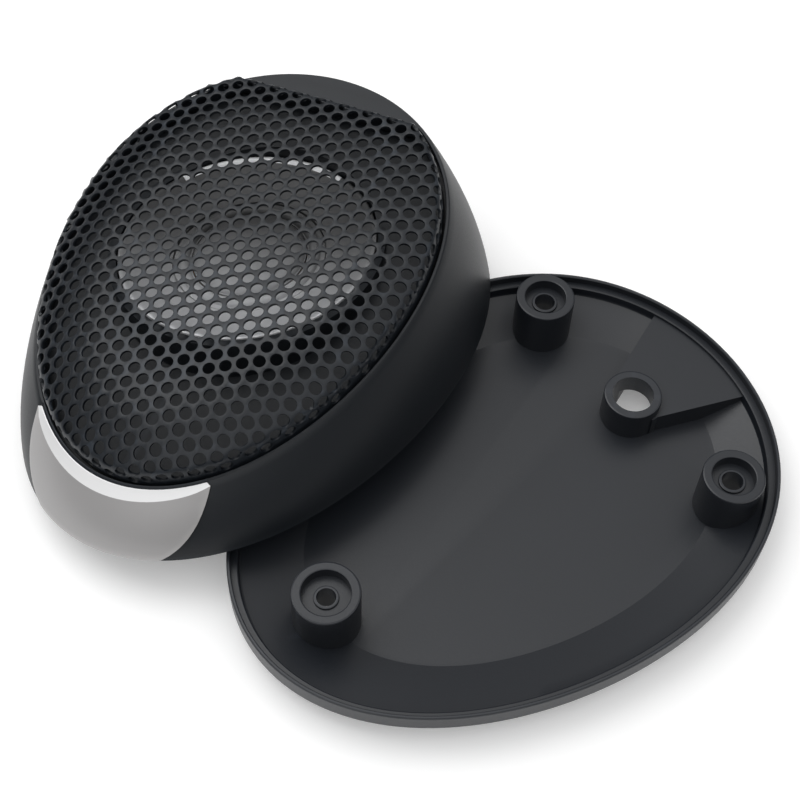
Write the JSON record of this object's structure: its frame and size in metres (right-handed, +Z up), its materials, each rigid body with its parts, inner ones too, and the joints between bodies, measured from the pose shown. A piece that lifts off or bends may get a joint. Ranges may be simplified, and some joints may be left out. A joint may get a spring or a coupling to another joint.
{
  "type": "car tweeter",
  "caption": "Egg-shaped surface-mount car tweeter pod, opened: perforated domed grille on a housing with its driver, leaning on the screw-down mounting base",
  "frame": {"origin": "centre of the mounting base's flat underside", "axes": "+Z up out of the base's open inner side, +X along the base's line of symmetry towards its wide end with the cable exit, +Y towards the housing that leans on the base's rim"},
  "size_m": [0.1244, 0.1469, 0.0389],
  "materials": {
    "base_plastic": "satin moulded black plastic, slightly grained",
    "black_plastic": "satin black moulded plastic",
    "grille_metal": "black powder-coated perforated steel, 2 mm holes on a 3 mm pitch",
    "silver_trim": "satin silver painted plastic",
    "silver_dish": "satin grey moulded driver face",
    "foam": "closed-cell foam",
    "dome": "coated grey silk",
    "surround_rubber": "matt rubber",
    "former": "amber film",
    "copper": "enamelled copper wire",
    "felt": "grey felt",
    "plated_steel": "zinc plated",
    "ferrite": "ground ferrite",
    "strip_board": "brown laminate board",
    "terminal_brass": "bare brass",
    "black_screw": "black oxide"
  },
  "bodies": {
    "base": {"base_plate": "base_plastic"},
    "housing": {"housing_shell": "black_plastic", "grille": "grille_metal", "accent_trim": "silver_trim", "driver_frame": "silver_dish", "driver_gasket": "foam", "damping_pad": "felt", "top_plate": "plated_steel", "magnet": "ferrite", "pole_yoke": "plated_steel", "terminal_strip": "strip_board", "terminal_positive": "terminal_brass", "terminal_negative": "plated_steel", "clamp_ring": "black_plastic", "clamp_screw_1": "plated_steel", "clamp_screw_2": "plated_steel", "clamp_screw_3": "plated_steel", "closing_screw_1": "black_screw", "closing_screw_2": "black_screw", "closing_screw_3": "black_screw"},
    "moving_assembly": {"diaphragm": "dome", "surround": "surround_rubber", "voice_coil_former": "former", "voice_coil": "copper"}
  },
  "joints": [
    {"name": "housing_lift", "type": "slide", "parent": "base", "child": "housing", "axis": [0, 0, 1], "range_m": [0, 0.06]},
    {"name": "driver_stroke", "type": "slide", "parent": "housing", "child": "moving_assembly", "axis": [-0.0133, 0.1311, 0.9913], "range_m": [-0.0003, 0.0003], "stiffness_N_per_m": 250}
  ]
}
